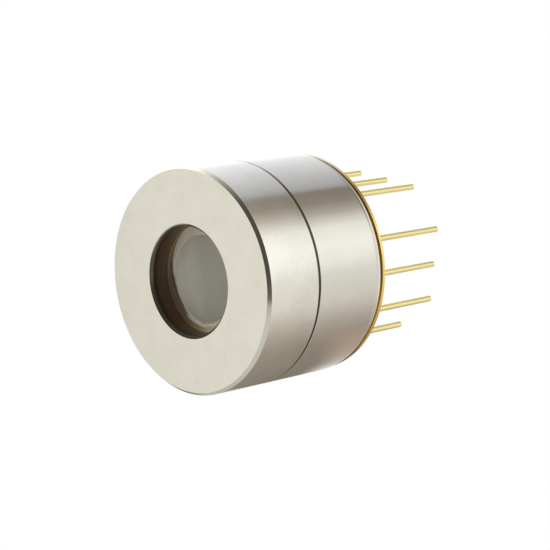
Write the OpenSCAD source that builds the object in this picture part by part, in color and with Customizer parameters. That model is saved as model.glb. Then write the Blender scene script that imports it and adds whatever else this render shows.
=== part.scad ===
// Cooled infrared detector in a twelve-lead metal can, in millimetres.
// The can stands with its window up. z = 0 is the seating face of the header,
// +Z is the optical axis, and the leads run down along -Z in a square of four
// rows of three. X and Y run along the rows of the square.

/* [Can] */
// Outside diameter of the cap and the sleeve
body_d = 15.3; // [15.2:0.1:15.6]
// Height from the seating face to the front face
body_h = 11.05; // [10.85:0.05:11.7]
// Height of the seam between the sleeve and the cap
seam_z = 6.35; // [6:0.05:6.5]
// Width of the filled seam between the sleeve and the cap
seam_w = 0.19; // [0.1:0.01:0.22]
// Wall thickness of the rear sleeve
sleeve_wall = 0.9; // [0.8:0.05:1]
// Bevel on the front edge of the cap and on the mouth of the aperture
front_bevel = 0.19; // [0.1:0.01:0.25]
// Radius of the rolled rear edge of the sleeve
rear_roll_r = 1.25; // [0.6:0.05:1.5]
// Slope at which the rolled rear edge ends, in degrees
rear_roll_a = 30; // [15:1:32]

/* [Window] */
// Diameter of the aperture in the front face, inside its bevel
aperture_d = 7.3; // [7:0.1:7.6]
// Depth of the aperture from the front face to the ledge round the window
aperture_depth = 1.54; // [1.2:0.01:1.8]
// Clear diameter through the seat behind the window
clear_d = 5.2; // [4.6:0.1:5.6]
// Thickness of the seat behind the window
seat_t = 0.45; // [0.3:0.05:0.6]
// How far the bond round the window stays below its front
bond_drop = 0.14; // [0.1:0.01:0.4]
// How far the front of the window stays below the ledge
window_inset = 0.05; // [0.02:0.01:0.2]
// Diameter of the window disc
window_d = 6.16; // [5.9:0.02:6.4]
// Thickness of the window disc
window_t = 1; // [0.6:0.1:1.2]
// Width of the shallow bevel on the front edge of the window
window_bevel = 0.15; // [0.05:0.01:0.2]

/* [Header and leads] */
// Diameter of the header flange
flange_d = 15.12; // [14.9:0.02:15.3]
// Thickness of the header flange
flange_t = 0.27; // [0.2:0.01:0.4]
// Height of the header's inner deck above the seating face
deck_z = 1.3; // [1.1:0.05:1.4]
// Thickness of the braze between the flange and the sleeve
braze_t = 0.09; // [0.06:0.01:0.18]
// Pitch of the leads along each row
lead_pitch = 2.54; // [2.5:0.01:2.56]
// Diameter of a lead
lead_d = 0.43; // [0.4:0.01:0.48]
// Length of a lead below the seating face
lead_len = 7.8; // [3:0.05:14]
// Height of a lead's inner end above the deck
post_h = 3.1; // [2.6:0.1:3.3]
// Outside diameter of the glass seal around a lead
seal_d = 1.2; // [1:0.05:1.3]

/* [Cooler] */
// Width of a thermoelectric pellet
pellet_w = 0.6; // [0.5:0.05:0.7]
// Height of a thermoelectric pellet
pellet_h = 0.8; // [0.6:0.05:0.9]
// Pitch of the pellets
pellet_pitch = 1.05; // [0.95:0.01:1.1]
// Thickness of the hot plate at the bottom of the cooler
hot_plate_t = 0.5; // [0.4:0.05:0.6]
// Thickness of the middle and cold plates
plate_t = 0.4; // [0.3:0.05:0.5]
// Thickness of the copper tabs that join the pellets
tab_t = 0.08; // [0.05:0.01:0.1]

/* [Sensor] */
// Width of the sensor chip
chip_w = 1.4; // [1:0.1:2]
// Thickness of the sensor chip
chip_t = 0.3; // [0.2:0.05:0.4]
// Width of the submount under the chip
submount_w = 2.6; // [2.3:0.1:2.7]
// Thickness of the submount
submount_t = 0.4; // [0.3:0.05:0.5]
// Diameter of the bond wires
wire_d = 0.05; // [0.04:0.01:0.08]

/* [Hidden] */

$fn = 96;

nickel = [0.80, 0.78, 0.74];
gold = [0.86, 0.66, 0.30];
braze_brown = [0.24, 0.17, 0.10];
seam_grey = [0.26, 0.25, 0.24];
window_grey = [0.47, 0.47, 0.47];
seal_glass = [0.20, 0.24, 0.26];
alumina = [0.92, 0.91, 0.88];
copper = [0.80, 0.50, 0.33];
pellet_grey = [0.38, 0.38, 0.41];
solder_grey = [0.66, 0.67, 0.69];

// Radii of the can
body_r = body_d / 2;
bore_r = body_r - sleeve_wall;      // inside of the sleeve
slip = 0.05;                        // radial room of the spigot and the deck
spigot_r = bore_r - slip;           // cap's spigot and header's deck
spigot_wall = 0.7;
spigot_len = 1;
cavity_r = spigot_r - spigot_wall;
flange_r = flange_d / 2;
edge = 0.05;                        // broken rear edge of the flange
seam_edge = 0.02;                   // broken edges at the seam
roll_in = rear_roll_r * (1 - cos(rear_roll_a));   // the rolled edge goes in by this
braze_r = min(body_r - roll_in, flange_r) - 0.01;
aperture_r = aperture_d / 2;
window_r = window_d / 2;
pocket_r = window_r + 0.08;         // pocket that the window is bonded into

// Heights, from the seating face up
sleeve_z0 = flange_t + braze_t;
cap_z0 = seam_z + seam_w;
ledge_z = body_h - aperture_depth;
window_z = ledge_z - window_inset;
bond_z = window_z - bond_drop;
seat_z = window_z - window_t;

// Leads: row k of four, place j of three
function lead_xy(i) = let (k = floor((i - 1) / 3), j = (i - 1) % 3 - 1,
                           x = 2 * lead_pitch, y = j * lead_pitch)
    [x * cos(90 * k) - y * sin(90 * k), x * sin(90 * k) + y * cos(90 * k)];
lead_r = lead_d / 2;
sealed_r = lead_r - 0.01;           // bare stretch inside the glass
seal_in = 0.06;                     // glass stands back from both faces
post_z = deck_z + post_h;

// Cooler stack
hot_plate = [8, 6];
middle_plate = [6.6, 4.8];
cold_plate = [4.6, 3.6];
lower_grid = [6, 4];
upper_grid = [4, 3];
solder_t = 0.06;
hot_z = deck_z + solder_t;
low_tab_z = hot_z + hot_plate_t;
low_pellet_z = low_tab_z + tab_t;
low_top_z = low_pellet_z + pellet_h;
mid_z = low_top_z + tab_t;
up_tab_z = mid_z + plate_t;
up_pellet_z = up_tab_z + tab_t;
up_top_z = up_pellet_z + pellet_h;
cold_z = up_top_z + tab_t;
sub_z = cold_z + plate_t;
chip_z = sub_z + submount_t;
chip_top_z = chip_z + chip_t;
sub_x = -0.75;
thermistor_size = [0.8, 0.5, 0.4];
thermistor_x = 1.6;
wire_r = wire_d / 2;
wire_bend = 0.3;

// Revolved section
module lathe(p) { rotate_extrude() polygon(p); }

// Plate centred on x and y, standing on height z
module slab(s, z, t) { translate([-s[0] / 2, -s[1] / 2, z]) cube([s[0], s[1], t]); }

// Place of pellet i on a path that runs along one row and back along the next
function pellet_xy(i, g) = let (row = floor(i / g[0]), n = i % g[0],
                                col = row % 2 == 0 ? n : g[0] - 1 - n)
    [(col - (g[0] - 1) / 2) * pellet_pitch, (row - (g[1] - 1) / 2) * pellet_pitch];

// One tab over pellets i and i + 1
module tab(i, g, z) {
    a = pellet_xy(i, g);
    b = pellet_xy(i + 1, g);
    s = [abs(a[0] - b[0]) + pellet_w, abs(a[1] - b[1]) + pellet_w];
    translate([(a[0] + b[0]) / 2, (a[1] + b[1]) / 2, 0]) slab(s, z, tab_t);
}

module pellets(g, z) {
    for (i = [0 : g[0] * g[1] - 1])
        translate(concat(pellet_xy(i, g), 0)) slab([pellet_w, pellet_w], z, pellet_h);
}

module top_tabs(g, z) {
    for (i = [0 : 2 : g[0] * g[1] - 2]) tab(i, g, z);
}

module bottom_tabs(g, z) {
    for (i = [1 : 2 : g[0] * g[1] - 3]) tab(i, g, z);
}

// Bond wire that rises at point a, runs level and comes down on point b
module bond_wire(a, za, b, zb, top) {
    d = [b[0] - a[0], b[1] - a[1]];
    run = norm(d);
    translate([a[0], a[1], 0]) rotate([0, 0, atan2(d[1], d[0])]) {
        translate([0, 0, za]) cylinder(r = wire_r, h = top - wire_bend - za, $fn = 24);
        translate([wire_bend, 0, top - wire_bend]) mirror([1, 0, 0]) rotate([90, 0, 0])
            rotate_extrude(angle = 90, $fn = 48)
                translate([wire_bend, 0]) circle(r = wire_r, $fn = 24);
        translate([wire_bend, 0, top]) rotate([0, 90, 0])
            cylinder(r = wire_r, h = run - 2 * wire_bend, $fn = 24);
        translate([run - wire_bend, 0, top - wire_bend]) rotate([90, 0, 0])
            rotate_extrude(angle = 90, $fn = 48)
                translate([wire_bend, 0]) circle(r = wire_r, $fn = 24);
        translate([run, 0, zb]) cylinder(r = wire_r, h = top - wire_bend - zb, $fn = 24);
    }
}

// Turned cap with the aperture, the ledge and seat for the window and a spigot below
module front_cap() {
    color(nickel) lathe([
        [body_r, cap_z0 + seam_edge],
        [body_r, body_h - front_bevel],
        [body_r - front_bevel, body_h],
        [aperture_r + front_bevel, body_h],
        [aperture_r, body_h - front_bevel],
        [aperture_r, ledge_z],
        [pocket_r, ledge_z],
        [pocket_r, seat_z],
        [clear_d / 2, seat_z],
        [clear_d / 2, seat_z - seat_t],
        [cavity_r, seat_z - seat_t],
        [cavity_r, cap_z0 - spigot_len],
        [spigot_r, cap_z0 - spigot_len],
        [spigot_r, cap_z0],
        [body_r - seam_edge, cap_z0]
    ]);
}

// Plain tube between the header and the cap, with a rolled rear edge
module rear_sleeve() {
    color(nickel) lathe(concat(
        [[bore_r, sleeve_z0]],
        [for (k = [0 : 5]) let (a = rear_roll_a * (1 - k / 5))
            [body_r - rear_roll_r * (1 - cos(a)), sleeve_z0 + rear_roll_r * (sin(rear_roll_a) - sin(a))]],
        [[body_r, seam_z - seam_edge],
         [body_r - seam_edge, seam_z],
         [bore_r, seam_z]]
    ));
}

// Header: flange, raised deck and one hole for each lead
module header_base() {
    color(gold) difference() {
        lathe([
            [0, 0],
            [flange_r - edge, 0],
            [flange_r, edge],
            [flange_r, flange_t],
            [spigot_r, flange_t],
            [spigot_r, deck_z],
            [0, deck_z]
        ]);
        for (i = [1 : 12])
            translate(concat(lead_xy(i), -1)) cylinder(d = seal_d, h = deck_z + 2);
    }
}

// Flat infrared window on its seat, with a bevelled front edge
module window() {
    color(window_grey) lathe([
        [0, seat_z],
        [window_r, seat_z],
        [window_r, window_z - window_bevel / 3],
        [window_r - window_bevel, window_z],
        [0, window_z]
    ]);
}

// Bond around the rim of the window
module window_seal() {
    color(seam_grey) lathe([
        [window_r, seat_z],
        [pocket_r, seat_z],
        [pocket_r, bond_z],
        [window_r, bond_z]
    ]);
}

// Filled seam between the sleeve and the cap, a little below the surface
module seam_bond() {
    color(seam_grey) lathe([
        [bore_r, seam_z],
        [body_r - 0.03, seam_z],
        [body_r - 0.03, cap_z0],
        [bore_r, cap_z0]
    ]);
}

// Braze between the flange and the sleeve, level with the end of the rolled edge
module braze_ring() {
    color(braze_brown) lathe([
        [bore_r, flange_t],
        [braze_r, flange_t],
        [braze_r, sleeve_z0],
        [bore_r, sleeve_z0]
    ]);
}

// Round lead through the header, with a bare stretch inside its glass seal
module lead(i) {
    color(gold) translate(concat(lead_xy(i), 0)) lathe([
        [0, -lead_len],
        [lead_r - 0.04, -lead_len],
        [lead_r, -lead_len + 0.04],
        [lead_r, seal_in],
        [sealed_r, seal_in],
        [sealed_r, deck_z - seal_in],
        [lead_r, deck_z - seal_in],
        [lead_r, post_z],
        [0, post_z]
    ]);
}

// Glass bead that holds lead i in the header
module glass_seal(i) {
    color(seal_glass) translate(concat(lead_xy(i), 0)) lathe([
        [sealed_r, seal_in],
        [seal_d / 2, seal_in],
        [seal_d / 2, deck_z - seal_in],
        [sealed_r, deck_z - seal_in]
    ]);
}

// Solder under the cooler
module cooler_solder() {
    color(solder_grey) slab(hot_plate - [0.4, 0.4], deck_z, solder_t);
}

module cooler_hot_plate() { color(alumina) slab(hot_plate, hot_z, hot_plate_t); }
module cooler_middle_plate() { color(alumina) slab(middle_plate, mid_z, plate_t); }
module cooler_cold_plate() { color(alumina) slab(cold_plate, cold_z, plate_t); }

// Bottom tabs of the lower stage, with the two pads that take the supply leads
module lower_stage_bottom_tabs() {
    a = pellet_xy(0, lower_grid);
    pad_x = -3.85;
    color(copper) {
        bottom_tabs(lower_grid, low_tab_z);
        for (s = [-1, 1])
            translate([pad_x, s < 0 ? -2.8 : -a[1] - pellet_w / 2, low_tab_z])
                cube([a[0] + pellet_w / 2 - pad_x, 2.8 + a[1] + pellet_w / 2, tab_t]);
    }
}

module lower_stage_pellets() { color(pellet_grey) pellets(lower_grid, low_pellet_z); }
module lower_stage_top_tabs() { color(copper) top_tabs(lower_grid, low_top_z); }

// Bottom tabs of the upper stage, with a pad under its first and last pellet
module upper_stage_bottom_tabs() {
    color(copper) {
        bottom_tabs(upper_grid, up_tab_z);
        for (i = [0, upper_grid[0] * upper_grid[1] - 1])
            translate(concat(pellet_xy(i, upper_grid), 0))
                slab([pellet_w, pellet_w], up_tab_z, tab_t);
    }
}

module upper_stage_pellets() { color(pellet_grey) pellets(upper_grid, up_pellet_z); }
module upper_stage_top_tabs() { color(copper) top_tabs(upper_grid, up_top_z); }

// Flat supply lead from a pad of the cooler to the side of lead i
module cooler_lead(i) {
    p = lead_xy(i);
    color(copper) difference() {
        translate([p[0], p[1] - 0.15, low_pellet_z]) cube([-3.2 - p[0], 0.3, 0.12]);
        translate([p[0], p[1], 0]) cylinder(r = lead_r, h = 10);
    }
}

module cooler_lead_positive() { cooler_lead(9); }
module cooler_lead_negative() { cooler_lead(7); }

// Submount on the cold plate, and the chip on it
module chip_submount() {
    color([0.86, 0.88, 0.92]) translate([sub_x, 0, 0])
        slab([submount_w, submount_w], sub_z, submount_t);
}

module sensor_chip() {
    color([0.22, 0.22, 0.26]) translate([sub_x, 0, 0])
        slab([chip_w, chip_w], chip_z, chip_t);
}

// Temperature sensor beside the submount
module thermistor() {
    color([0.15, 0.13, 0.12]) translate([thermistor_x, 0, 0])
        slab([thermistor_size[0], thermistor_size[1]], sub_z, thermistor_size[2]);
}

module anode_wire() {
    color(gold) bond_wire([sub_x, chip_w / 2 - 0.2], chip_top_z, lead_xy(5), post_z, chip_top_z + 0.45);
}

module cathode_wire() {
    color(gold) bond_wire([sub_x, 0.2 - chip_w / 2], chip_top_z, lead_xy(11), post_z, chip_top_z + 0.45);
}

module thermistor_wire_a() {
    color(gold) bond_wire([thermistor_x + 0.1, 0.14], sub_z + thermistor_size[2], lead_xy(3), post_z, chip_top_z + 0.25);
}

module thermistor_wire_b() {
    color(gold) bond_wire([thermistor_x + 0.1, -0.14], sub_z + thermistor_size[2], lead_xy(1), post_z, chip_top_z + 0.25);
}

front_cap();
rear_sleeve();
header_base();
window();
window_seal();
seam_bond();
braze_ring();
lead(1);  // lead_1
lead(2);  // lead_2
lead(3);  // lead_3
lead(4);  // lead_4
lead(5);  // lead_5
lead(6);  // lead_6
lead(7);  // lead_7
lead(8);  // lead_8
lead(9);  // lead_9
lead(10);  // lead_10
lead(11);  // lead_11
lead(12);  // lead_12
glass_seal(1);  // glass_seal_1
glass_seal(2);  // glass_seal_2
glass_seal(3);  // glass_seal_3
glass_seal(4);  // glass_seal_4
glass_seal(5);  // glass_seal_5
glass_seal(6);  // glass_seal_6
glass_seal(7);  // glass_seal_7
glass_seal(8);  // glass_seal_8
glass_seal(9);  // glass_seal_9
glass_seal(10);  // glass_seal_10
glass_seal(11);  // glass_seal_11
glass_seal(12);  // glass_seal_12
cooler_solder();
cooler_hot_plate();
lower_stage_bottom_tabs();
lower_stage_pellets();
lower_stage_top_tabs();
cooler_middle_plate();
upper_stage_bottom_tabs();
upper_stage_pellets();
upper_stage_top_tabs();
cooler_cold_plate();
cooler_lead_positive();
cooler_lead_negative();
chip_submount();
sensor_chip();
thermistor();
anode_wire();
cathode_wire();
thermistor_wire_a();
thermistor_wire_b();
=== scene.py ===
import math

import bpy
import bmesh
from mathutils import Matrix, Vector


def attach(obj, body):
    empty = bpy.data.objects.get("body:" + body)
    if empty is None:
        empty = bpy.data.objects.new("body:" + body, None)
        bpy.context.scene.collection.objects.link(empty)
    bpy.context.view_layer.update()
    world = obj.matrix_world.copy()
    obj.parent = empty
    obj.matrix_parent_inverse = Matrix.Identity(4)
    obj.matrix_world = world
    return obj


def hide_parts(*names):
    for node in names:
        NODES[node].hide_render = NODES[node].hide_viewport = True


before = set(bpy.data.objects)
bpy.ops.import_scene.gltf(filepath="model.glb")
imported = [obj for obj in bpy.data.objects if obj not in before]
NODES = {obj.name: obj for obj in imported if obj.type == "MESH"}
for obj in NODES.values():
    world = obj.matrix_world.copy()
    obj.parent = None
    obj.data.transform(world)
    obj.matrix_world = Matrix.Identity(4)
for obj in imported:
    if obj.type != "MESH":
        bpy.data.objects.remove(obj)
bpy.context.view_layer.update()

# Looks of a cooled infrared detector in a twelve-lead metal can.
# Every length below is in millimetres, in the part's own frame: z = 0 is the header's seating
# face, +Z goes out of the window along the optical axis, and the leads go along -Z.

MM = 0.001
SCENE = bpy.context.scene


# ---------------------------------------------------------------- mesh tools

def rounded(corners, steps=5):
    """Outline of (r, z, radius) corners, counter-clockwise with z up, each corner turned to an arc.
    Gives (r, z, normal r, normal z, tag) points. A corner's fourth value is the tag of the edge after it."""
    out = []
    n = len(corners)
    for i in range(n):
        p0, p1, p2 = corners[i - 1], corners[i], corners[(i + 1) % n]
        a, b, c = Vector(p0[:2]), Vector(p1[:2]), Vector(p2[:2])
        d1, d2 = (b - a).normalized(), (c - b).normalized()
        n1, n2 = Vector((d1.y, -d1.x)), Vector((d2.y, -d2.x))
        tag_in, tag_out = (p0[3] if len(p0) > 3 else 0), (p1[3] if len(p1) > 3 else 0)
        turn = math.atan2(d1.x * d2.y - d1.y * d2.x, d1.dot(d2))
        radius = p1[2]
        if radius <= 0 or abs(turn) < 1e-4:
            out.append((b.x, b.y, n1.x, n1.y, tag_in))
            out.append((b.x, b.y, n2.x, n2.y, tag_out))
            continue
        cut = radius * math.tan(abs(turn) / 2)
        cut = min(cut, (0.95 if 2 * p0[2] < radius else 0.48) * (b - a).length,
                  (0.95 if 2 * p2[2] < radius else 0.48) * (c - b).length)
        radius = cut / math.tan(abs(turn) / 2)
        side = 1 if turn > 0 else -1
        centre = b - d1 * cut - n1 * radius * side
        k = max(2, round(steps * abs(turn) / (math.pi / 2)) + 1)
        for j in range(k + 1):
            ang = turn * j / k
            nn = Vector((n1.x * math.cos(ang) - n1.y * math.sin(ang),
                         n1.x * math.sin(ang) + n1.y * math.cos(ang)))
            q = centre + nn * radius * side
            out.append((q.x, q.y, nn.x, nn.y, tag_in if j < k / 2 else tag_out))
    return out


def lathe(name, corners, segments=288, steps=5, at=(0.0, 0.0), phase=0.0):
    """A turned solid about the line through at, with rounded edges and true normals."""
    outline = rounded(corners, steps)
    rings = []
    for p in outline:                       # a point that repeats is kept once if its normal repeats too
        if rings and math.dist(rings[-1][:4], p[:4]) < 1e-7:
            continue
        rings.append(p)
    verts, normals, index = [], [], []
    for r, z, nr, nz, tag in rings:
        row = []
        if r < 1e-6:
            verts.append((at[0] * MM, at[1] * MM, z * MM))
            normals.append((0.0, 0.0, 1.0 if nz > 0 else -1.0))
            row = [len(verts) - 1] * segments
        else:
            for j in range(segments):
                t = phase + 2 * math.pi * j / segments
                cs, sn = math.cos(t), math.sin(t)
                verts.append(((at[0] + r * cs) * MM, (at[1] + r * sn) * MM, z * MM))
                normals.append((nr * cs, nr * sn, nz))
                row.append(len(verts) - 1)
        index.append(row)
    faces, tags = [], []
    m = len(rings)
    for i in range(m):
        k = (i + 1) % m
        if math.dist(rings[i][:2], rings[k][:2]) < 1e-7:
            continue
        if rings[i][0] < 1e-6 and rings[k][0] < 1e-6:
            continue
        for j in range(segments):
            l = (j + 1) % segments
            quad = [index[i][j], index[i][l], index[k][l], index[k][j]]
            face = [v for v, w in zip(quad, quad[1:] + quad[:1]) if v != w]
            faces.append(face)
            tags.append(rings[i][4])
    me = bpy.data.meshes.new(name)
    me.from_pydata(verts, [], faces)
    me.polygons.foreach_set("use_smooth", [True] * len(faces))
    me.polygons.foreach_set("material_index", tags)
    me.validate()
    me.normals_split_custom_set_from_vertices(normals)
    me.update()
    return place(name, me)


def place(name, me):
    ob = bpy.data.objects.new(name, me)
    SCENE.collection.objects.link(ob)
    return ob


def finish_piece(ob, node, slot, *materials):
    for m in materials:
        ob.data.materials.append(m)
    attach(ob, "root")
    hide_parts(node)
    return ob


# ---------------------------------------------------------------- material tools

class Nodes:
    """Small helper that writes a node tree."""

    def __init__(self, tree):
        self.tree = tree
        tree.nodes.clear()

    def add(self, kind, **props):
        node = self.tree.nodes.new(kind)
        for k, v in props.items():
            setattr(node, k, v)
        return node

    def link(self, a, b):
        self.tree.links.new(a, b)

    def math(self, op, a, b=None, clamp=False):
        n = self.add("ShaderNodeMath", operation=op, use_clamp=clamp)
        for i, v in enumerate((a, b)):
            if v is None:
                continue
            if isinstance(v, (int, float)):
                n.inputs[i].default_value = v
            else:
                self.link(v, n.inputs[i])
        return n.outputs[0]

    def remap(self, value, a, b, c, d, smooth=False):
        n = self.add("ShaderNodeMapRange", interpolation_type="SMOOTHSTEP" if smooth else "LINEAR")
        self.link(value, n.inputs["Value"])
        for key, v in zip(("From Min", "From Max", "To Min", "To Max"), (a, b, c, d)):
            n.inputs[key].default_value = v
        return n.outputs[0]

    def noise(self, vector, scale, detail=2.0, rough=0.5):
        n = self.add("ShaderNodeTexNoise")
        self.link(vector, n.inputs["Vector"])
        n.inputs["Scale"].default_value = scale
        n.inputs["Detail"].default_value = detail
        n.inputs["Roughness"].default_value = rough
        return n.outputs["Fac"]

    def ramp(self, fac, stops, mode="LINEAR"):
        n = self.add("ShaderNodeValToRGB")
        n.color_ramp.interpolation = mode
        els = n.color_ramp.elements
        while len(els) < len(stops):
            els.new(0.5)
        for e, (p, c) in zip(els, stops):
            e.position = p
        for e, (p, c) in zip(els, stops):
            e.color = (*c, 1.0)
        self.link(fac, n.inputs["Fac"])
        return n.outputs["Color"]


def new_material(name):
    m = bpy.data.materials.new(name)
    m.use_nodes = True
    t = Nodes(m.node_tree)
    out = t.add("ShaderNodeOutputMaterial")
    b = t.add("ShaderNodeBsdfPrincipled")
    t.link(b.outputs["BSDF"], out.inputs["Surface"])
    return m, t, b


def coords(t):
    """Object coordinates in millimetres, with radius and angle about the optical axis."""
    tc = t.add("ShaderNodeTexCoord")
    sc = t.add("ShaderNodeVectorMath", operation="SCALE")
    t.link(tc.outputs["Object"], sc.inputs[0])
    sc.inputs["Scale"].default_value = 1000.0
    xyz = t.add("ShaderNodeSeparateXYZ")
    t.link(sc.outputs[0], xyz.inputs[0])
    x, y, z = xyz.outputs
    rad = t.math("SQRT", t.math("ADD", t.math("MULTIPLY", x, x), t.math("MULTIPLY", y, y)))
    ang = t.math("ARCTAN2", y, x)
    return sc.outputs[0], x, y, z, rad, ang


def shade(c, k):
    return tuple(min(1.0, v * k) for v in c)


def turned_metal(name, colour, rough, spread=0.05, tone=0.035, lines=0.25, aniso=0.0, depth=0.012, painted_light_slope=0.0, painted_light_rise=0.0):
    """Plated, turned metal: cloudy tone, roughness that varies, and fine turning lines round the axis. The slope and
    rise arguments add painted light: tone lighter towards one side and towards the front.
    """
    m, t, b = new_material(name)
    p, x, y, z, rad, ang = coords(t)
    cloud = t.noise(p, 0.55, 3.0, 0.55)
    fine = t.noise(p, 4.0, 3.0, 0.6)
    comb = t.add("ShaderNodeCombineXYZ")
    t.link(t.math("MULTIPLY", rad, 16.0), comb.inputs[0])
    t.link(t.math("MULTIPLY", z, 16.0), comb.inputs[1])
    t.link(t.math("MULTIPLY", ang, 1.3), comb.inputs[2])
    rings = t.noise(comb.outputs[0], 1.0, 2.0, 0.6)
    mixv = t.math("ADD", t.math("MULTIPLY", cloud, 0.6), t.math("MULTIPLY", fine, 0.4))
    # painted light: tone made lighter towards one side, and towards the front when asked
    painted_light_across = t.math("ADD", t.math("MULTIPLY", x, 0.225 * painted_light_slope), t.math("MULTIPLY", y, -0.974 * painted_light_slope))
    if painted_light_rise:
        painted_light_across = t.math("ADD", painted_light_across, t.math("MULTIPLY", t.math("SUBTRACT", z, 7.4), painted_light_rise))
    col = t.ramp(t.math("ADD", mixv, painted_light_across), [(0.30, shade(colour, 1 - tone)), (0.52, colour), (0.74, shade(colour, 1 + tone))])
    t.link(col, b.inputs["Base Color"])
    b.inputs["Metallic"].default_value = 1.0
    r = t.math("ADD", t.math("MULTIPLY", mixv, 0.6), t.math("MULTIPLY", rings, 0.4))
    t.link(t.remap(r, 0.3, 0.7, rough - spread, rough + spread), b.inputs["Roughness"])
    h = t.math("ADD", t.math("MULTIPLY", rings, lines), t.math("MULTIPLY", fine, 1.0 - lines))
    bump = t.add("ShaderNodeBump")
    bump.inputs["Strength"].default_value = depth
    bump.inputs["Distance"].default_value = 0.0001
    t.link(h, bump.inputs["Height"])
    t.link(bump.outputs["Normal"], b.inputs["Normal"])
    if aniso:
        b.inputs["Anisotropic"].default_value = aniso
        tan = t.add("ShaderNodeTangent", direction_type="RADIAL", axis="Z")
        t.link(tan.outputs[0], b.inputs["Tangent"])
    return m


def grained(name, colour, rough, metallic=0.0, tone=0.08, scale=3.0, spread=0.06, depth=0.03, distance=0.00002):
    """A plain solid stuff with fine grain: tone, roughness and height follow two sizes of noise."""
    m, t, b = new_material(name)
    p, x, y, z, rad, ang = coords(t)
    big = t.noise(p, scale, 3.0, 0.55)
    small = t.noise(p, scale * 7.0, 2.0, 0.6)
    mixv = t.math("ADD", t.math("MULTIPLY", big, 0.55), t.math("MULTIPLY", small, 0.45))
    col = t.ramp(mixv, [(0.30, shade(colour, 1 - tone)), (0.52, colour), (0.74, shade(colour, 1 + tone))])
    t.link(col, b.inputs["Base Color"])
    b.inputs["Metallic"].default_value = metallic
    t.link(t.remap(mixv, 0.3, 0.7, rough - spread, rough + spread), b.inputs["Roughness"])
    bump = t.add("ShaderNodeBump")
    bump.inputs["Strength"].default_value = depth
    bump.inputs["Distance"].default_value = distance
    t.link(small, bump.inputs["Height"])
    t.link(bump.outputs["Normal"], b.inputs["Normal"])
    return m


# ---------------------------------------------------------------- materials

NICKEL = (0.76, 0.735, 0.66)
GOLD = (0.96, 0.68, 0.22)

# painted light: the cap is painted lighter towards its front, the face lighter towards one side
nickel_cap = turned_metal("nickel_cap", NICKEL, 0.17, tone=0.08, painted_light_rise=0.06)
nickel_face = turned_metal("nickel_face", shade(NICKEL, 0.99), 0.34, tone=0.07, lines=0.5, painted_light_slope=0.012)
nickel_sleeve = turned_metal("nickel_sleeve", shade(NICKEL, 0.94), 0.10, spread=0.03)
gold_header = turned_metal("gold_header", GOLD, 0.22, tone=0.06)


def paint_rim_light_and_shade(m):
    """Painted light on the flange's rim: pale gold as a painted highlight on one side and dull as painted shade on the
    other.
    """
    t = Nodes.__new__(Nodes)
    t.tree = m.node_tree
    b = t.tree.nodes["Principled BSDF"]
    gold = b.inputs["Base Color"].links[0].from_socket
    p, x, y, z, rad, ang = coords(t)
    rim = t.math("MULTIPLY", t.remap(rad, 7.49, 7.53, 0.0, 1.0, True), t.remap(z, 0.03, 0.08, 0.0, 1.0, True))
    # painted highlight: the rim made pale on one side
    part = t.math("MULTIPLY", t.remap(ang, -0.60, -0.20, 0.0, 1.0, True), t.remap(ang, 1.0, 0.7, 0.0, 1.0, True))
    mix = t.add("ShaderNodeMix", data_type="RGBA")
    t.link(t.math("MULTIPLY", rim, part), mix.inputs["Factor"])
    t.link(gold, mix.inputs["A"])
    mix.inputs["B"].default_value = (0.80, 0.72, 0.58, 1.0)
    # painted shade: the rim made dull on the other side
    dull = t.add("ShaderNodeMix", data_type="RGBA")
    under = t.math("MAXIMUM", t.remap(ang, -2.16, -2.32, 0.0, 1.0, True), t.remap(ang, 2.3, 2.6, 0.0, 1.0, True))
    t.link(t.math("MULTIPLY", rim, under), dull.inputs["Factor"])
    t.link(mix.outputs["Result"], dull.inputs["A"])
    dull.inputs["B"].default_value = (0.45, 0.38, 0.26, 1.0)
    t.link(dull.outputs["Result"], b.inputs["Base Color"])


paint_rim_light_and_shade(gold_header)
gold_lead = grained("gold_lead", (1.0, 0.86, 0.40), 0.42, 1.0, tone=0.05, scale=2.0)
gold_lead.node_tree.nodes["Principled BSDF"].inputs["Coat Weight"].default_value = 0.4
gold_lead.node_tree.nodes["Principled BSDF"].inputs["Coat Roughness"].default_value = 0.3


def degrees(rows):
    """Ramp stops from (compass angle, colour) rows."""
    return [((d + 180.0) / 360.0, c) for d, c in rows]


def around(t, ang, wav):
    """Compass angle from 0 to 1, a little uneven."""
    return t.math("ADD", t.remap(ang, -math.pi, math.pi, 0.0, 1.0), t.math("MULTIPLY", t.math("SUBTRACT", wav, 0.5), 0.03))


def bore_with_painted_light(name):
    """Dark wall of the aperture, with painted light making it paler towards the ledge at its foot."""
    m, t, b = new_material(name)
    p, x, y, z, rad, ang = coords(t)
    wav = t.noise(p, 1.2, 3.0, 0.55)
    # painted light: paler towards the foot of the wall
    up = t.math("ADD", t.remap(z, 9.51, 10.86, 0.0, 1.0), t.math("MULTIPLY", t.math("SUBTRACT", wav, 0.5), 0.10))
    col = t.ramp(up, [(0.0, (0.37, 0.26, 0.165)), (0.12, (0.32, 0.22, 0.135)), (0.27, (0.24, 0.155, 0.09)),
                      (0.41, (0.175, 0.115, 0.066)), (0.68, (0.13, 0.085, 0.048)), (0.84, (0.075, 0.047, 0.026)), (1.0, (0.045, 0.028, 0.015))])
    t.link(col, b.inputs["Base Color"])
    b.inputs["Metallic"].default_value = 0.5
    t.link(t.remap(wav, 0.3, 0.7, 0.34, 0.46), b.inputs["Roughness"])
    return m


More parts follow.
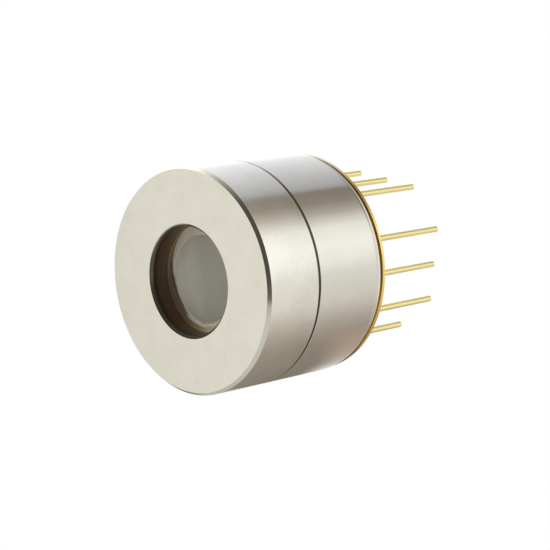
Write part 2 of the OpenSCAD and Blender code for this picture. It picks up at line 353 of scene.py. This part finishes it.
def mouth_with_painted_light(name):
    """Bevel at the mouth of the aperture, dark brown, with painted light and shade round the edge and a painted
    highlight on its outer lip on one side.
    """
    m, t, b = new_material(name)
    p, x, y, z, rad, ang = coords(t)
    wav = t.noise(p, 1.2, 3.0, 0.55)
    # painted light and shade: the brown made lighter and darker by compass angle
    col = t.ramp(around(t, ang, wav), degrees((
        (-180, (0.060, 0.046, 0.028)), (-167, (0.042, 0.031, 0.016)), (-150, (0.055, 0.042, 0.026)), (-90, (0.10, 0.08, 0.055)),
        (10, (0.11, 0.09, 0.062)), (32, (0.065, 0.052, 0.032)), (60, (0.105, 0.085, 0.056)), (76, (0.175, 0.145, 0.098)), (97, (0.24, 0.205, 0.14)),
        (112, (0.125, 0.10, 0.068)), (130, (0.105, 0.085, 0.056)), (165, (0.085, 0.067, 0.043)), (180, (0.060, 0.046, 0.028)))))
    # painted highlight: the outer lip made pale on one side
    lip = t.add("ShaderNodeMix", data_type="RGBA")
    side = t.math("MULTIPLY", t.remap(ang, 0.0, 0.25, 0.0, 1.0, True), t.remap(ang, 1.5, 0.95, 0.0, 1.0, True))
    t.link(t.math("MULTIPLY", side, t.remap(rad, 3.755, 3.80, 0.0, 1.0, True)), lip.inputs["Factor"])
    t.link(col, lip.inputs["A"])
    lip.inputs["B"].default_value = (0.62, 0.59, 0.50, 1.0)
    t.link(lip.outputs["Result"], b.inputs["Base Color"])
    b.inputs["Specular IOR Level"].default_value = 0.2
    t.link(t.remap(wav, 0.3, 0.7, 0.40, 0.50), b.inputs["Roughness"])
    return m


def ledge_painted_light_and_shadow(name):
    """Satin ledge round the window, coloured with painted light and shadow: pale on the lit side, brown as painted
    shadow on the other, with a slanting shadow edge between the two.
    """
    m, t, b = new_material(name)
    p, x, y, z, rad, ang = coords(t)
    wav = t.noise(p, 1.6, 3.0, 0.55)
    turn = around(t, ang, wav)
    # painted light and shadow: pale lit colour and brown shadow colour, each by compass angle
    pale = t.ramp(turn, degrees((
        (-180, (0.50, 0.415, 0.225)), (-168, (0.78, 0.67, 0.44)), (-150, (0.80, 0.70, 0.54)), (40, (0.80, 0.73, 0.58)), (110, (0.80, 0.75, 0.64)))))
    brown = t.ramp(turn, degrees((
        (40, (0.30, 0.24, 0.17)), (90, (0.29, 0.225, 0.15)), (150, (0.25, 0.195, 0.125)), (168, (0.33, 0.265, 0.145)), (180, (0.50, 0.415, 0.225)))))
    # the slanting edge of the painted shadow, with a painted dark shadow line along part of it
    edge = t.math("ADD", t.math("SUBTRACT", rad, 3.65), t.math("MULTIPLY", t.math("SUBTRACT", ang, 0.611), 0.44))
    line = t.math("MULTIPLY", t.math("MULTIPLY", t.remap(edge, -0.03, 0.04, 0.0, 1.0, True), t.remap(edge, 0.18, 0.09, 0.0, 1.0, True)),
                  t.remap(ang, 1.43, 1.50, 0.0, 0.85, True))
    mix = t.add("ShaderNodeMix", data_type="RGBA")
    t.link(t.remap(edge, -0.05, 0.05, 0.0, 1.0, True), mix.inputs["Factor"])
    t.link(pale, mix.inputs["A"])
    t.link(brown, mix.inputs["B"])
    # painted highlight: a bright line along the inner edge at the ledge's foot
    inner = t.math("SUBTRACT", rad, 3.315)
    foot = t.math("MAXIMUM", t.remap(ang, 2.60, 2.76, 0.0, 1.0, True), t.remap(ang, -2.90, -3.06, 0.0, 1.0, True))
    clean = t.add("ShaderNodeMix", data_type="RGBA")
    t.link(t.math("MULTIPLY", t.remap(inner, 0.05, -0.05, 0.0, 1.0, True), foot), clean.inputs["Factor"])
    t.link(mix.outputs["Result"], clean.inputs["A"])
    clean.inputs["B"].default_value = (0.96, 0.85, 0.68, 1.0)
    dark = t.add("ShaderNodeMix", data_type="RGBA")
    t.link(line, dark.inputs["Factor"])
    t.link(clean.outputs["Result"], dark.inputs["A"])
    dark.inputs["B"].default_value = (0.06, 0.045, 0.03, 1.0)
    t.link(dark.outputs["Result"], b.inputs["Base Color"])
    t.link(t.remap(wav, 0.3, 0.7, 0.42, 0.52), b.inputs["Roughness"])
    return m


def bond_with_painted_shade(name):
    """Thin metal bond that fills the gap round the window, dark on one side as painted shade and paler round the rest
    as painted light.
    """
    m, t, b = new_material(name)
    p, x, y, z, rad, ang = coords(t)
    wav = t.noise(p, 1.6, 3.0, 0.55)
    # painted light and shade by compass angle: dark on one side, pale elsewhere
    col = t.ramp(around(t, ang, wav), degrees((
        (-180, (0.27, 0.24, 0.19)), (-165, (0.46, 0.42, 0.345)), (-150, (0.56, 0.52, 0.43)), (-100, (0.54, 0.50, 0.42)), (0, (0.50, 0.46, 0.385)),
        (60, (0.51, 0.475, 0.405)), (91, (0.62, 0.575, 0.51)), (112, (0.13, 0.10, 0.075)), (138, (0.15, 0.12, 0.09)), (152, (0.46, 0.42, 0.34)), (166, (0.36, 0.325, 0.265)), (180, (0.27, 0.24, 0.19)))))
    t.link(col, b.inputs["Base Color"])
    b.inputs["Metallic"].default_value = 1.0
    t.link(t.remap(wav, 0.3, 0.7, 0.36, 0.44), b.inputs["Roughness"])
    return m


def ground_edge(name):
    """Fine ground edge of the pane, pale, with painted light and shade round it: brighter on two sides."""
    m, t, b = new_material(name)
    p, x, y, z, rad, ang = coords(t)
    wav = t.noise(p, 4.0, 3.0, 0.55)
    # painted light and shade: the pale colour made brighter and darker by compass angle
    col = t.ramp(around(t, ang, wav), degrees((
        (-180, (0.64, 0.60, 0.52)), (-163, (0.72, 0.68, 0.60)), (-150, (0.95, 0.90, 0.80)), (0, (0.92, 0.88, 0.80)), (13, (0.95, 0.90, 0.80)),
        (32, (0.78, 0.74, 0.66)), (60, (0.90, 0.86, 0.79)), (110, (0.96, 0.92, 0.85)), (148, (0.86, 0.82, 0.74)), (168, (0.70, 0.66, 0.58)),
        (180, (0.64, 0.60, 0.52)))))
    t.link(col, b.inputs["Base Color"])
    b.inputs["IOR"].default_value = 1.8
    t.link(t.remap(wav, 0.3, 0.7, 0.25, 0.35), b.inputs["Roughness"])
    return m


ground_mat = ground_edge("ground_edge")
bore_mat = bore_with_painted_light("bore_dark")
mouth_mat = mouth_with_painted_light("mouth_dark")
bond_mat = bond_with_painted_shade("window_bond")
ledge_mat = ledge_painted_light_and_shadow("ledge_satin")


def coated_window(name):
    """Grey coated pane: nearly even, with painted light making it paler towards one side and at that side's rim, and a
    weak gloss.
    """
    m, t, b = new_material(name)
    p, x, y, z, rad, ang = coords(t)
    wav = t.noise(p, 0.5, 2.0, 0.5)
    # painted light: paler towards one side
    painted_light_pos = t.math("ADD", t.math("MULTIPLY", x, -0.225), t.math("ADD", t.math("MULTIPLY", y, 0.974), wav))
    col = t.ramp(t.remap(painted_light_pos, -2.7, 3.7, 0.0, 1.0), [(0.0, (0.40, 0.375, 0.325)), (0.5, (0.42, 0.40, 0.35)), (1.0, (0.70, 0.68, 0.60))])
    side = t.math("ADD", t.math("MULTIPLY", x, -0.225), t.math("MULTIPLY", y, 0.974))
    # painted light: a pale rim on that side, against the wall's shade
    mix = t.add("ShaderNodeMix", data_type="RGBA")
    t.link(t.remap(side, 1.9, 3.1, 0.0, 1.0, True), mix.inputs["Factor"])
    t.link(col, mix.inputs["A"])
    mix.inputs["B"].default_value = (0.80, 0.78, 0.70, 1.0)
    t.link(mix.outputs["Result"], b.inputs["Base Color"])
    t.link(t.remap(wav, 0.3, 0.7, 0.22, 0.30), b.inputs["Roughness"])
    b.inputs["IOR"].default_value = 1.30
    return m


window_mat = coated_window("window_coat")


def seam_with_painted_light(name):
    """Dark filler of the seam, with painted light and shade round it: a pale painted highlight over one stretch."""
    m, t, b = new_material(name)
    p, x, y, z, rad, ang = coords(t)
    wav = t.noise(p, 4.0, 3.0, 0.55)
    dark, mid, pale = (0.066, 0.053, 0.025), (0.145, 0.128, 0.075), (0.92, 0.91, 0.88)
    # painted light and shade by compass angle; the pale stretch is a painted highlight
    col = t.ramp(around(t, ang, wav), degrees((
        (-180, mid), (-140, (0.11, 0.095, 0.055)), (-115, dark), (-90, dark), (-68, (0.23, 0.21, 0.145)), (-58, (0.20, 0.18, 0.12)), (-46, mid), (-30, mid), (-17, (0.38, 0.375, 0.355)), (-7, (0.92, 0.91, 0.89)),
        (4, pale), (40, pale), (60, mid), (180, mid))))
    t.link(col, b.inputs["Base Color"])
    b.inputs["Specular IOR Level"].default_value = 0.25
    t.link(t.remap(wav, 0.3, 0.7, 0.44, 0.56), b.inputs["Roughness"])
    return m


seam_mat = seam_with_painted_light("seam_filler")


def dark_braze(name):
    """Dark fillet behind the sleeve, paler towards the sleeve's edge and greyer on one side."""
    m, t, b = new_material(name)
    p, x, y, z, rad, ang = coords(t)
    wav = t.noise(p, 3.0, 3.0, 0.55)
    up = t.math("ADD", t.remap(z, 0.27, 0.36, 0.0, 1.0), t.math("MULTIPLY", t.math("SUBTRACT", wav, 0.5), 0.5))
    col = t.ramp(up, [(0.0, (0.34, 0.19, 0.075)), (0.45, (0.42, 0.24, 0.10)), (0.75, (0.62, 0.46, 0.30)), (1.0, (0.74, 0.64, 0.50))])
    dull = t.add("ShaderNodeMix", data_type="RGBA")
    t.link(t.math("MULTIPLY", t.remap(ang, -0.52, -0.26, 0.0, 1.0, True), t.remap(ang, 1.2, 0.9, 0.0, 1.0, True)), dull.inputs["Factor"])
    t.link(col, dull.inputs["A"])
    dull.inputs["B"].default_value = (0.34, 0.30, 0.235, 1.0)
    t.link(dull.outputs["Result"], b.inputs["Base Color"])
    b.inputs["Metallic"].default_value = 0.6
    t.link(t.remap(wav, 0.3, 0.7, 0.40, 0.50), b.inputs["Roughness"])
    return m


braze_mat = dark_braze("braze")
glass_mat = grained("seal_glass", (0.045, 0.06, 0.07), 0.12, 0.0, tone=0.2, scale=5.0, spread=0.03, depth=0.01)
solder_mat = grained("solder", (0.60, 0.61, 0.63), 0.35, 1.0, tone=0.08)
alumina_mat = grained("alumina", (0.82, 0.80, 0.75), 0.55, 0.0, tone=0.03, scale=6.0)
copper_mat = grained("copper", (0.80, 0.42, 0.25), 0.32, 1.0, tone=0.1)
pellet_mat = grained("pellet", (0.22, 0.22, 0.25), 0.42, 0.8, tone=0.15, scale=5.0)
submount_mat = grained("submount", (0.72, 0.75, 0.80), 0.3, 0.0, tone=0.03)
chip_mat = grained("chip", (0.05, 0.05, 0.075), 0.12, 0.0, tone=0.15, spread=0.03)
thermistor_mat = grained("thermistor", (0.05, 0.04, 0.035), 0.5, 0.0, tone=0.2)
wire_mat = grained("gold_wire", GOLD, 0.2, 1.0, tone=0.05, scale=8.0)


# ---------------------------------------------------------------- the can

# Corners are (r, z, edge radius, material of the edge that follows), counter-clockwise.
CAP = [
    (7.63, 6.54, 0.008), (7.65, 6.56, 0.008), (7.65, 10.83, 0.02), (7.452, 11.05, 0.02, 1),
    (3.84, 11.05, 0.03, 3), (3.65, 10.86, 0.03, 2), (3.65, 9.51, 0.10, 4), (3.16, 9.51, 0.012, 4), (3.16, 8.46, 0.01),
    (2.60, 8.46, 0.01), (2.60, 8.01, 0.02), (6.00, 8.01, 0.05),
    (6.00, 5.54, 0.03), (6.70, 5.54, 0.03), (6.70, 6.54, 0.01),
]
cap = lathe("front_cap_turned", CAP, 360, steps=6)
finish_piece(cap, "front_cap", "nickel_cap", nickel_cap, nickel_face, bore_mat, mouth_mat, ledge_mat)

SLEEVE = [
    (6.75, 0.36, 0.02), (7.4825, 0.36, 0.012), (7.65, 0.6501, 1.25), (7.65, 6.33, 0.008), (7.63, 6.35, 0.008), (6.75, 6.35, 0.02),
]
sleeve = lathe("rear_sleeve_turned", SLEEVE, 360, steps=14)
finish_piece(sleeve, "rear_sleeve", "nickel_sleeve", nickel_sleeve)

SEAM = [(6.75, 6.35, 0.0), (7.618, 6.35, 0.0), (7.59, 6.445, 0.10), (7.618, 6.54, 0.0), (6.75, 6.54, 0.0)]
seam = lathe("seam_fill", SEAM, 360, steps=6)
finish_piece(seam, "seam_bond", "seam_filler", seam_mat)

BRAZE = [(6.75, 0.27, 0.0), (7.472, 0.27, 0.0), (7.455, 0.315, 0.06), (7.472, 0.36, 0.0), (6.75, 0.36, 0.0)]
braze = lathe("braze_fillet", BRAZE, 360, steps=6)
finish_piece(braze, "braze_ring", "braze", braze_mat)

WINDOW = [(0.0, 8.46, 0.0), (3.08, 8.46, 0.01), (3.08, 9.41, 0.008, 1), (2.93, 9.46, 0.02), (0.0, 9.46, 0.0)]
window = lathe("window_pane", WINDOW, 288, steps=5)
finish_piece(window, "window", "infrared_window", window_mat, ground_mat)

BOND = [(3.08, 8.46, 0.0), (3.16, 8.46, 0.0), (3.16, 9.45, 0.0), (3.12, 9.425, 0.06), (3.08, 9.41, 0.0)]
bond = lathe("window_bond_ring", BOND, 288, steps=5)
finish_piece(bond, "window_seal", "window_bond", bond_mat)

# ---------------------------------------------------------------- leads and their glass

PITCH = 2.54
ROW = [(2, -1), (2, 0), (2, 1), (1, 2), (0, 2), (-1, 2), (-2, 1), (-2, 0), (-2, -1), (-1, -2), (0, -2), (1, -2)]
LEADS = [(a * PITCH, b * PITCH) for a, b in ROW]

for i, at in enumerate(LEADS, 1):
    lead = lathe("lead_pin_%d" % i, [
        (0.0, -7.80, 0.0), (0.175, -7.80, 0.015), (0.215, -7.76, 0.02), (0.215, 0.06, 0.0), (0.205, 0.06, 0.0),
        (0.205, 1.24, 0.0), (0.215, 1.24, 0.0), (0.215, 4.36, 0.02), (0.175, 4.40, 0.015), (0.0, 4.40, 0.0)], 40, steps=4, at=at)
    finish_piece(lead, "lead_%d" % i, "gold_lead", gold_lead)
    bead = lathe("glass_bead_%d" % i, [
        (0.205, 0.06, 0.0), (0.30, 0.10, 0.08), (0.50, 0.10, 0.08), (0.60, 0.06, 0.0),
        (0.60, 1.24, 0.0), (0.50, 1.20, 0.08), (0.30, 1.20, 0.08), (0.205, 1.24, 0.0)], 48, steps=4, at=at)
    finish_piece(bead, "glass_seal_%d" % i, "seal_glass", glass_mat)

# ---------------------------------------------------------------- header

def header():
    """Flange and deck in one, with twelve drilled holes and eased edges."""
    bm = bmesh.new()
    seg, hseg = 288, 48
    # the open outline runs from the rear face's edge to the deck's edge
    prof = [(p[0], p[1]) for p in rounded([(0.0, 0.0, 0.0), (7.51, 0.0, 0.02), (7.56, 0.05, 0.02), (7.56, 0.27, 0.03),
                                           (6.70, 0.27, 0.02), (6.70, 1.30, 0.04), (0.0, 1.30, 0.0)], 5) if p[0] > 1.0]
    clean = []
    for q in prof:
        if not clean or math.dist(clean[-1], q) > 1e-7:
            clean.append(q)

    def ring(r, z, cx=0.0, cy=0.0, n=seg):
        return [bm.verts.new(((cx + r * math.cos(2 * math.pi * j / n)) * MM,
                              (cy + r * math.sin(2 * math.pi * j / n)) * MM, z * MM)) for j in range(n)]

    rows = [ring(r, z) for r, z in clean]
    for a, b in zip(rows, rows[1:]):
        for j in range(seg):
            l = (j + 1) % seg
            bm.faces.new((a[j], a[l], b[l], b[j])).smooth = True
    loops = {"rear": [rows[0]], "front": [rows[-1]]}
    for cx, cy in LEADS:
        pr = [(0.63, 0.0), (0.609, 0.009), (0.60, 0.03), (0.60, 1.27), (0.609, 1.291), (0.63, 1.30)]
        hr = [ring(r, z, cx, cy, hseg) for r, z in pr]
        for a, b in zip(hr, hr[1:]):
            for j in range(hseg):
                l = (j + 1) % hseg
                bm.faces.new((a[l], a[j], b[j], b[l])).smooth = True
        loops["rear"].append(hr[0])
        loops["front"].append(hr[-1])
    for side, want in (("rear", -1), ("front", 1)):
        edges = []
        for loop in loops[side]:
            for j in range(len(loop)):
                e = bm.edges.get((loop[j], loop[(j + 1) % len(loop)]))
                edges.append(e)
        got = bmesh.ops.triangle_fill(bm, use_beauty=True, use_dissolve=False, edges=edges,
                                      normal=(0, 0, want))
        for f in got["geom"]:
            if isinstance(f, bmesh.types.BMFace):
                f.normal_update()
                if f.normal.z * want < 0:
                    f.normal_flip()
                f.smooth = True
    me = bpy.data.meshes.new("header_plate")
    bm.to_mesh(me)
    bm.free()
    me.set_sharp_from_angle(angle=math.radians(35))
    me.update()
    return place("header_plate", me)


head = header()
finish_piece(head, "header_base", "gold_header", gold_header)

# ---------------------------------------------------------------- sealed inner pieces keep their shapes

INNER = {
    "cooler_solder": solder_mat, "cooler_hot_plate": alumina_mat, "cooler_middle_plate": alumina_mat, "cooler_cold_plate": alumina_mat,
    "lower_stage_bottom_tabs": copper_mat, "lower_stage_top_tabs": copper_mat, "upper_stage_bottom_tabs": copper_mat,
    "upper_stage_top_tabs": copper_mat, "lower_stage_pellets": pellet_mat, "upper_stage_pellets": pellet_mat,
    "cooler_lead_positive": copper_mat, "cooler_lead_negative": copper_mat, "chip_submount": submount_mat, "sensor_chip": chip_mat,
    "thermistor": thermistor_mat, "anode_wire": wire_mat, "cathode_wire": wire_mat, "thermistor_wire_a": wire_mat, "thermistor_wire_b": wire_mat,
}
for node, mat in INNER.items():
    ob = NODES[node]
    ob.data.materials.clear()
    ob.data.materials.append(mat)

# ---------------------------------------------------------------- floor, light and camera

def floor():
    """Plain white floor at the lead tips, lit evenly, and clear when seen from below."""
    s, z = 1.5, -7.80 * MM - 0.00002
    me = bpy.data.meshes.new("floor")
    me.from_pydata([(-s, -s, z), (s, -s, z), (s, s, z), (-s, s, z)], [], [(0, 1, 2, 3)])
    ob = place("floor", me)
    m = bpy.data.materials.new("floor_white")
    m.use_nodes = True
    t = Nodes(m.node_tree)
    out = t.add("ShaderNodeOutputMaterial")
    em = t.add("ShaderNodeEmission")
    em.inputs["Color"].default_value = (1.0, 1.0, 1.0, 1.0)
    tr = t.add("ShaderNodeBsdfTransparent")
    mix = t.add("ShaderNodeMixShader")
    geo = t.add("ShaderNodeNewGeometry")
    t.link(geo.outputs["Backfacing"], mix.inputs[0])
    t.link(em.outputs[0], mix.inputs[1])
    t.link(tr.outputs[0], mix.inputs[2])
    t.link(mix.outputs[0], out.inputs["Surface"])
    me.materials.append(m)
    ob.visible_glossy = False
    ob.visible_diffuse = False
    ob.visible_shadow = False
    ob.visible_transmission = False
    return ob


floor()


def studio():
    """Soft studio light as a plain gradient round the part: cards and soft boxes by compass angle,
    two bands below the horizon, one above it, a light overhead and one underneath."""
    w = bpy.data.worlds.new("studio")
    SCENE.world = w
    w.use_nodes = True
    t = Nodes(w.node_tree)
    out = t.add("ShaderNodeOutputWorld")
    bg = t.add("ShaderNodeBackground")
    tc = t.add("ShaderNodeTexCoord")
    xyz = t.add("ShaderNodeSeparateXYZ")
    t.link(tc.outputs["Generated"], xyz.inputs[0])
    x, y, z = xyz.outputs
    turn = t.remap(t.math("ARCTAN2", y, x), -math.pi, math.pi, 0.0, 1.0)

    def stops(rows):
        return sorted(((d + 180.0) / 360.0, c) for d, c in rows)

    low = t.ramp(turn, stops([
        (-180, (0.36, 0.31, 0.265)), (-160, (0.40, 0.35, 0.31)), (-140, (0.53, 0.49, 0.44)), (-115, (0.83, 0.80, 0.77)),
        (-88, (0.94, 0.95, 0.93)), (-74, (1.15, 1.17, 1.17)), (-58, (1.24, 1.26, 1.27)), (-40, (1.10, 1.12, 1.08)),
        (-24, (0.58, 0.55, 0.50)), (-12, (0.36, 0.325, 0.285)), (3, (0.30, 0.265, 0.24)), (8, (0.52, 0.53, 0.58)),
        (50, (0.91, 0.93, 1.00)), (66, (1.04, 1.07, 1.15)), (84, (1.34, 1.38, 1.48)), (103, (1.34, 1.38, 1.45)), (110, (0.22, 0.21, 0.20)),
        (140, (0.26, 0.24, 0.21)), (180, (0.36, 0.31, 0.265))]))
    high = t.ramp(turn, stops([
        (-180, (0.60, 0.59, 0.56)), (-150, (0.66, 0.65, 0.62)), (-118, (0.66, 0.65, 0.62)), (-107, (0.56, 0.55, 0.52)), (-101, (0.13, 0.12, 0.105)),
        (-86, (0.095, 0.087, 0.075)), (-74, (0.085, 0.077, 0.065)),
        (-5, (0.09, 0.083, 0.07)), (10, (0.22, 0.215, 0.20)), (25, (0.49, 0.485, 0.46)), (38, (0.97, 0.97, 0.93)),
        (46, (1.36, 1.36, 1.32)), (70, (1.36, 1.36, 1.32)), (92, (0.99, 0.99, 0.94)), (112, (0.96, 0.96, 0.91)),
        (132, (0.92, 0.92, 0.87)), (160, (0.56, 0.55, 0.52)), (180, (0.60, 0.59, 0.56))]))
    deep = t.ramp(turn, stops([
        (-180, (0.48, 0.42, 0.37)), (-150, (0.64, 0.58, 0.52)), (-125, (0.87, 0.83, 0.78)), (-87, (0.88, 0.87, 0.83)), (-49, (0.99, 0.99, 0.95)),
        (-30, (0.60, 0.58, 0.54)), (-12, (0.30, 0.27, 0.24)), (5, (0.27, 0.24, 0.215)), (22, (0.33, 0.32, 0.32)), (38, (0.58, 0.58, 0.61)),
        (54, (0.60, 0.61, 0.64)), (78, (0.58, 0.59, 0.615)), (100, (0.62, 0.635, 0.655)), (110, (0.22, 0.21, 0.20)), (180, (0.48, 0.42, 0.37))]))
    mix0 = t.add("ShaderNodeMix", data_type="RGBA")
    t.link(t.remap(z, -0.735, -0.795, 0.0, 1.0, True), mix0.inputs["Factor"])
    t.link(low, mix0.inputs["A"])
    t.link(deep, mix0.inputs["B"])
    mix1 = t.add("ShaderNodeMix", data_type="RGBA")
    t.link(t.remap(z, -0.30, -0.10, 0.0, 1.0, True), mix1.inputs["Factor"])
    t.link(mix0.outputs["Result"], mix1.inputs["A"])
    t.link(high, mix1.inputs["B"])
    mix2 = t.add("ShaderNodeMix", data_type="RGBA")
    t.link(t.remap(z, 0.80, 0.97, 0.0, 1.0, True), mix2.inputs["Factor"])
    t.link(mix1.outputs["Result"], mix2.inputs["A"])
    mix2.inputs["B"].default_value = (0.58, 0.57, 0.54, 1.0)
    under = t.add("ShaderNodeMix", data_type="RGBA")
    t.link(t.remap(z, -0.90, -0.955, 0.0, 1.0, True), under.inputs["Factor"])
    t.link(mix2.outputs["Result"], under.inputs["A"])
    under.inputs["B"].default_value = (1.08, 1.05, 0.98, 1.0)
    path = t.add("ShaderNodeLightPath")
    mix3 = t.add("ShaderNodeMix", data_type="RGBA")
    t.link(path.outputs["Is Camera Ray"], mix3.inputs["Factor"])
    t.link(under.outputs["Result"], mix3.inputs["A"])
    mix3.inputs["B"].default_value = (1.0, 1.0, 1.0, 1.0)
    t.link(mix3.outputs["Result"], bg.inputs["Color"])
    t.link(bg.outputs[0], out.inputs["Surface"])


studio()


def table_card():
    """White table card close under the can, with the can's own soft shadow on it. Only reflections show it."""
    me = bpy.data.meshes.new("table_card")
    c, s = math.cos(math.radians(193.0)), math.sin(math.radians(193.0))
    ux, uy = math.cos(math.radians(103.0)), math.sin(math.radians(103.0))

    def at(u, z):
        return ((9.0 * c + u * ux) * MM, (9.0 * s + u * uy) * MM, z * MM)

    me.from_pydata([at(-9.0, -6.0), at(40.0, -6.0), at(40.0, 9.5), at(-9.0, 9.5)], [], [(0, 1, 2, 3)])
    ob = place("table_card", me)
    m = bpy.data.materials.new("table_shadow")
    m.use_nodes = True
    t = Nodes(m.node_tree)
    out = t.add("ShaderNodeOutputMaterial")
    em = t.add("ShaderNodeEmission")
    tr = t.add("ShaderNodeBsdfTransparent")
    mix = t.add("ShaderNodeMixShader")
    p, x, y, z, rad, ang = coords(t)
    u = t.math("ADD", t.math("MULTIPLY", x, ux), t.math("MULTIPLY", y, uy))
    along = t.remap(u, -10.0, 10.0, 0.0, 1.0)
    dark = t.ramp(along, [(0.05, (0.47, 0.43, 0.38)), (0.20, (0.365, 0.325, 0.28)), (0.35, (0.31, 0.275, 0.235)),
                          (0.50, (0.258, 0.228, 0.192)), (0.60, (0.256, 0.228, 0.194)), (0.80, (0.315, 0.293, 0.264))])
    pale = t.ramp(along, [(0.05, (0.53, 0.43, 0.37)), (0.25, (0.52, 0.42, 0.36)), (0.35, (0.57, 0.48, 0.43)),
                          (0.425, (0.65, 0.61, 0.56)), (0.50, (0.82, 0.78, 0.73)), (0.60, (0.98, 0.95, 0.91)), (0.80, (1.05, 1.04, 1.01))])
    m1 = t.add("ShaderNodeMix", data_type="RGBA")
    fall = t.math("ADD", z, t.math("MULTIPLY", t.math("MAXIMUM", t.math("ADD", u, 0.7), 0.0), 0.62))
    t.link(t.remap(fall, 1.6, -2.2, 0.0, 1.0, True), m1.inputs["Factor"])
    t.link(dark, m1.inputs["A"])
    t.link(pale, m1.inputs["B"])
    m2 = t.add("ShaderNodeMix", data_type="RGBA")
    bend = t.math("MULTIPLY", t.math("MINIMUM", t.math("SUBTRACT", u, 2.7), 0.0), 0.45)
    painted_light_rise = t.math("ADD", t.math("ADD", z, t.math("MULTIPLY", u, 0.95)), bend)
    t.link(t.remap(painted_light_rise, 5.4, 11.8, 0.0, 1.0, True), m2.inputs["Factor"])
    t.link(m1.outputs["Result"], m2.inputs["A"])
    m2.inputs["B"].default_value = (0.88, 0.87, 0.84, 1.0)
    t.link(m2.outputs["Result"], em.inputs["Color"])
    ends = t.math("MULTIPLY", t.remap(z, -6.0, -4.6, 0.0, 1.0, True), t.remap(z, 9.5, 6.6, 0.0, 1.0, True))
    t.link(t.math("MULTIPLY", ends, t.remap(u, -8.5, -5.5, 0.0, 1.0, True)), mix.inputs[0])
    t.link(tr.outputs[0], mix.inputs[1])
    t.link(em.outputs[0], mix.inputs[2])
    t.link(mix.outputs[0], out.inputs["Surface"])
    me.materials.append(m)
    ob.visible_camera = False
    ob.visible_diffuse = False
    return ob


table_card()


def lead_card():
    """White card low down beside the leads. Only reflections show it."""
    me = bpy.data.meshes.new("lead_card")
    c, s = math.cos(math.radians(193.0)), math.sin(math.radians(193.0))
    ux, uy = math.cos(math.radians(103.0)), math.sin(math.radians(103.0))
    me.from_pydata([((12.0 * c + u * ux) * MM, (12.0 * s + u * uy) * MM, z * MM)
                    for u, z in ((-4.0, -80.0), (70.0, -80.0), (70.0, -14.0), (-4.0, -14.0))], [], [(0, 1, 2, 3)])
    ob = place("lead_card", me)
    m = bpy.data.materials.new("lead_card_white")
    m.use_nodes = True
    t = Nodes(m.node_tree)
    out = t.add("ShaderNodeOutputMaterial")
    em = t.add("ShaderNodeEmission")
    em.inputs["Color"].default_value = (0.95, 0.93, 0.88, 1.0)
    tr = t.add("ShaderNodeBsdfTransparent")
    mix = t.add("ShaderNodeMixShader")
    p, x, y, z, rad, ang = coords(t)
    t.link(t.remap(z, -14.0, -20.0, 0.0, 1.0, True), mix.inputs[0])
    t.link(tr.outputs[0], mix.inputs[1])
    t.link(em.outputs[0], mix.inputs[2])
    t.link(mix.outputs[0], out.inputs["Surface"])
    me.materials.append(m)
    ob.visible_camera = False
    ob.visible_diffuse = False
    return ob


lead_card()

cam_data = bpy.data.cameras.new("camera")
cam_data.lens = 127.05
cam_data.sensor_width = 36.0
cam_data.clip_start, cam_data.clip_end = 0.005, 10.0
cam = bpy.data.objects.new("camera", cam_data)
SCENE.collection.objects.link(cam)
right = Vector((0.071271, -0.701981, -0.70862))
up = Vector((0.966362, 0.224615, -0.12531))
back = right.cross(up).normalized()
where = Vector((32.43, -90.37, 95.73)) * MM
cam.matrix_world = Matrix(((right.x, up.x, back.x, where.x), (right.y, up.y, back.y, where.y),
                           (right.z, up.z, back.z, where.z), (0.0, 0.0, 0.0, 1.0)))
SCENE.camera = cam
SCENE.view_settings.view_transform = "Standard"

bpy.context.view_layer.update()
